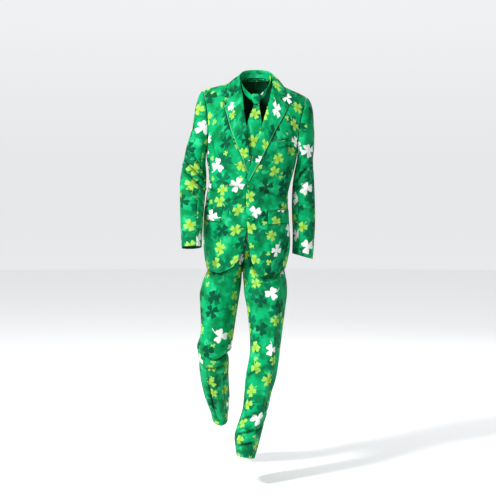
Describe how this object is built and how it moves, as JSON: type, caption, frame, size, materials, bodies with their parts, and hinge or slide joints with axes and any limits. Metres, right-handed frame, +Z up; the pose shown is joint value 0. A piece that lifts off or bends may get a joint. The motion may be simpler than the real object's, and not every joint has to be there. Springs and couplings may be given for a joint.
{
  "type": "shamrock print suit",
  "caption": "Slim single-breasted suit jacket, trousers and matching tie in green clover-print cloth, hollow and standing as when worn in a relaxed stride.",
  "frame": {"origin": "middle of the neck opening, at the height of the two side neck points where the collar sits on the wearer's neck", "axes": "+X towards the wearer's left, -Y towards the front, +Z up"},
  "size_m": [0.5282, 0.5018, 1.4992],
  "materials": {
    "printed_cloth": "smooth polyester suiting, green with a clover print",
    "covered_button": "buttons covered in or coloured like the cloth, satin"
  },
  "bodies": {
    "root": {"front_left": "printed_cloth", "front_right": "printed_cloth", "back_left": "printed_cloth", "back_right": "printed_cloth", "top_sleeve_left": "printed_cloth", "top_sleeve_right": "printed_cloth", "under_sleeve_left": "printed_cloth", "under_sleeve_right": "printed_cloth", "lapel_left": "printed_cloth", "lapel_right": "printed_cloth", "collar": "printed_cloth", "breast_welt": "printed_cloth", "pocket_flap_left": "printed_cloth", "pocket_flap_right": "printed_cloth", "button_upper": "covered_button", "button_lower": "covered_button", "trouser_front_left": "printed_cloth", "trouser_front_right": "printed_cloth", "trouser_back_left": "printed_cloth", "trouser_back_right": "printed_cloth", "waistband": "printed_cloth", "tie_blade": "printed_cloth", "tie_knot": "printed_cloth", "tie_neckband": "printed_cloth"}
  },
  "joints": []
}
